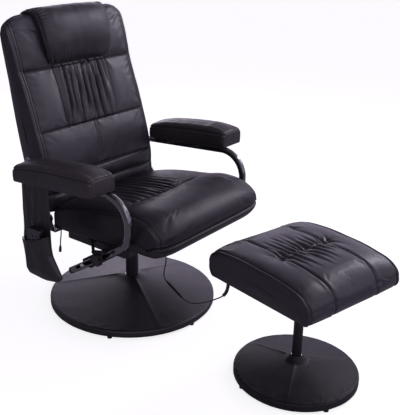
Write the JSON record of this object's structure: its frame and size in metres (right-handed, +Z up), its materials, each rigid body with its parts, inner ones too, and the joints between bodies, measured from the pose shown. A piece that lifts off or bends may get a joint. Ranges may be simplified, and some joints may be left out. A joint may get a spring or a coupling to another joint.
{
  "type": "swivel recliner with footstool",
  "caption": "Padded black swivel recliner on a covered round base, with C-shaped tube arms, a slotted recline linkage, a side pocket with a hand control, and a matching footstool on a lead.",
  "frame": {"origin": "on the floor, on the chair's swivel axis", "axes": "+Z up along the swivel axis, the sitter faces -Y towards the footstool, +X is the sitter's left"},
  "size_m": [0.774, 1.2449, 1.0066],
  "materials": {
    "leatherette": "satin",
    "arm_leatherette": "satin",
    "base_leatherette": "satin",
    "tube_enamel": "gloss",
    "frame_enamel": "satin",
    "bare_steel": "satin",
    "plywood": "matte",
    "black_rubber": "matte",
    "knob_plastic": "satin",
    "grey_plastic": "satin",
    "control_plastic": "gloss",
    "bush_plastic": "satin"
  },
  "bodies": {
    "base": {"base_cover": "base_leatherette", "base_ring": "frame_enamel", "base_legs": "frame_enamel", "base_boot": "black_rubber", "base_glides": "black_rubber", "column": "frame_enamel", "column_bush": "bush_plastic", "stool_cover": "base_leatherette", "stool_ring": "frame_enamel", "stool_legs": "frame_enamel", "stool_boot": "black_rubber", "stool_glides": "black_rubber", "stool_post": "frame_enamel", "stool_board": "plywood", "stool_cushion": "leatherette", "stool_motor": "knob_plastic", "stool_lead_boot": "black_rubber", "link_cord_upper": "black_rubber", "cord_connector": "knob_plastic", "link_cord_lower": "black_rubber"},
    "carriage": {"swivel_spindle": "bare_steel", "mechanism_pan": "frame_enamel", "cross_rail": "frame_enamel", "side_brackets": "bare_steel", "arm_tube_left": "tube_enamel", "arm_tube_right": "tube_enamel", "tube_caps": "black_rubber", "arm_pad_left": "arm_leatherette", "arm_pad_right": "arm_leatherette", "arm_pad_boards": "plywood", "arm_pivot_bolts": "bare_steel", "control_box": "knob_plastic", "link_cord_gland": "black_rubber", "side_pocket": "leatherette"},
    "backrest": {"back_cushion": "leatherette", "headrest_pillow": "leatherette", "back_board": "plywood", "back_cover": "leatherette", "back_brackets": "bare_steel", "back_tubes": "frame_enamel", "back_motors": "knob_plastic", "seat_hinge_bolts": "bare_steel"},
    "seat": {"seat_cushion": "leatherette", "seat_board": "plywood", "seat_struts": "frame_enamel", "seat_hinge_lugs": "frame_enamel", "seat_motors": "knob_plastic", "clamp_bolts": "bare_steel", "clamp_washers": "bare_steel", "power_lead": "black_rubber", "power_plug": "knob_plastic"},
    "knob_left": {"clamp_knob_left": "knob_plastic"},
    "knob_right": {"clamp_knob_right": "knob_plastic"},
    "hand_control": {"control_front": "control_plastic", "control_rear": "control_plastic"},
    "power_button": {"button_power": "grey_plastic"},
    "mode_button": {"button_mode": "grey_plastic"},
    "zone_button": {"button_zone": "grey_plastic"},
    "timer_button": {"button_timer": "grey_plastic"}
  },
  "joints": [
    {"name": "chair_swivel", "type": "hinge", "parent": "base", "child": "carriage", "pos_m": [0, 0, 0.2], "axis": [0, 0, 1], "continuous": true, "deforming": ["link_cord_upper"]},
    {"name": "back_recline", "type": "hinge", "parent": "carriage", "child": "backrest", "pos_m": [0, 0.16, 0.49479], "axis": [-1, 0, 0], "range_deg": [-4, 24]},
    {"name": "seat_tilt", "type": "hinge", "parent": "backrest", "child": "seat", "pos_m": [0, 0.117, 0.358], "axis": [-1, 0, 0], "range_deg": [-23, 4]},
    {"name": "knob_left_turn", "type": "hinge", "parent": "seat", "child": "knob_left", "pos_m": [0.313, -0.1485, 0.30917], "axis": [1, 0, 0], "range_deg": [0, 360]},
    {"name": "knob_right_turn", "type": "hinge", "parent": "seat", "child": "knob_right", "pos_m": [-0.313, -0.1485, 0.30917], "axis": [-1, 0, 0], "range_deg": [0, 360]},
    {"name": "control_lift", "type": "slide", "parent": "carriage", "child": "hand_control", "axis": [0, 0, 1], "range_m": [0, 0.12]},
    {"name": "power_press", "type": "slide", "parent": "hand_control", "child": "power_button", "axis": [1, 0, 0], "range_m": [0, 0.0012], "stiffness_N_per_m": 400},
    {"name": "mode_press", "type": "slide", "parent": "hand_control", "child": "mode_button", "axis": [1, 0, 0], "range_m": [0, 0.0012], "stiffness_N_per_m": 400},
    {"name": "zone_press", "type": "slide", "parent": "hand_control", "child": "zone_button", "axis": [1, 0, 0], "range_m": [0, 0.0012], "stiffness_N_per_m": 400},
    {"name": "timer_press", "type": "slide", "parent": "hand_control", "child": "timer_button", "axis": [1, 0, 0], "range_m": [0, 0.0012], "stiffness_N_per_m": 400}
  ],
  "couplings": [
    {"joint": "seat_tilt", "follows": "back_recline", "ratio": -0.94}
  ]
}
